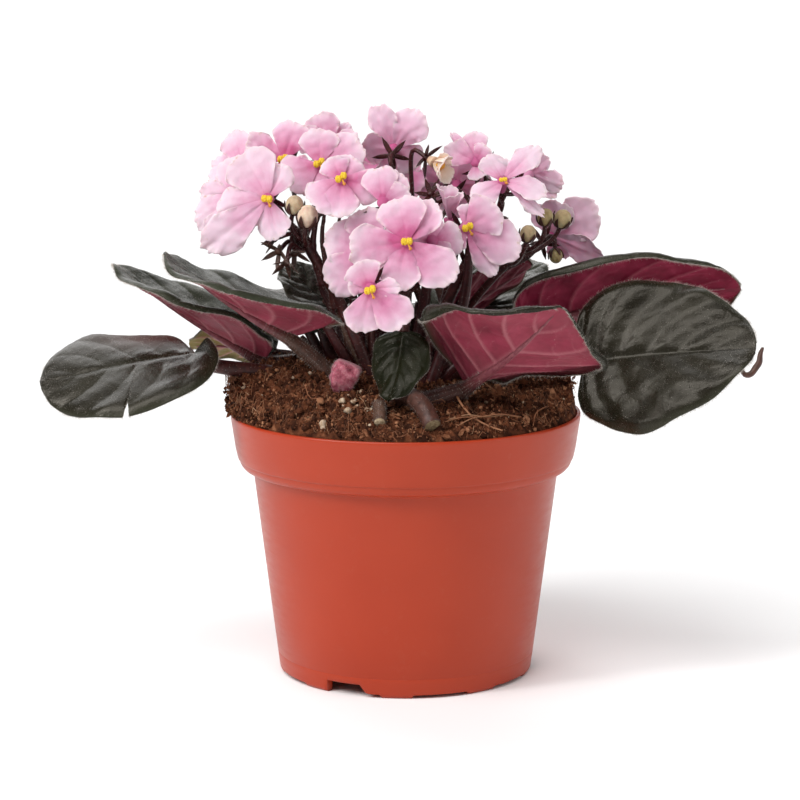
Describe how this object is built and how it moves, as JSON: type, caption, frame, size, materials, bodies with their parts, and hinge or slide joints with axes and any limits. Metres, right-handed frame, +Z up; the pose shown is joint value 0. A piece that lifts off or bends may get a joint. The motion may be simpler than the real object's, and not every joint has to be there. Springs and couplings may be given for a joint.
{
  "type": "potted african violet",
  "caption": "Flowering african violet rosette with broad hairy leaves and pale pink blooms, in a plain round plastic nursery pot filled with soil.",
  "frame": {"origin": "middle of the whole plant's footprint (its bounding box seen from above), on the surface that the pot stands on", "axes": "+Z up, -Y towards the viewer of the picture, +X to the viewer's right, along the widest spread of the leaves"},
  "size_m": [0.2394, 0.1502, 0.1946],
  "materials": {
    "pot": "satin moulded plastic, terracotta colour",
    "soil": "dry crumbly peat mix",
    "leaf": "satin, quilted, finely hairy",
    "petal": "soft matte, crimped edges",
    "petal_pale": "soft matte, faded",
    "petal_shaded": "soft matte",
    "anther": "powdery",
    "flower_stem": "finely hairy",
    "stub": "dry, hairy",
    "young_leaf": "soft, hairy"
  },
  "bodies": {
    "root": {"anthers_back_left": "anther", "anthers_far_left": "anther", "anthers_front": "anther", "anthers_front_low": "anther", "anthers_left": "anther", "anthers_rear": "anther", "anthers_right_front": "anther", "anthers_right_top": "anther", "anthers_right_upper": "anther", "anthers_upper": "anther", "anthers_upper_left": "anther", "bloom_back_left": "petal", "bloom_far_left": "petal", "bloom_far_right": "petal", "bloom_front": "petal", "bloom_front_left": "petal", "bloom_front_low": "petal", "bloom_front_right": "petal", "bloom_half_open": "petal", "bloom_left": "petal", "bloom_nodding": "petal_pale", "bloom_rear": "petal", "bloom_rear_left": "petal", "bloom_rear_top": "petal", "bloom_right_front": "petal", "bloom_right_side": "petal", "bloom_right_top": "petal", "bloom_right_upper": "petal", "bloom_shaded": "petal_shaded", "bloom_top": "petal", "bloom_upper": "petal", "bloom_upper_left": "petal", "flower_stem_back": "flower_stem", "flower_stem_centre": "flower_stem", "flower_stem_left": "flower_stem", "flower_stem_right": "flower_stem", "flower_stem_right_low": "flower_stem", "leaf_back": "leaf", "leaf_back_left": "leaf", "leaf_back_right": "leaf", "leaf_far_left": "leaf", "leaf_far_right": "leaf", "leaf_inner_left": "leaf", "leaf_left": "leaf", "leaf_left_low": "leaf", "leaf_left_upper": "leaf", "leaf_right_front": "leaf", "leaf_right_inner": "leaf", "leaf_right_upper": "leaf", "leaf_small_front": "leaf", "pot": "pot", "soil": "soil", "stub_curved": "stub", "stub_short": "stub", "young_leaf": "young_leaf"}
  },
  "joints": []
}
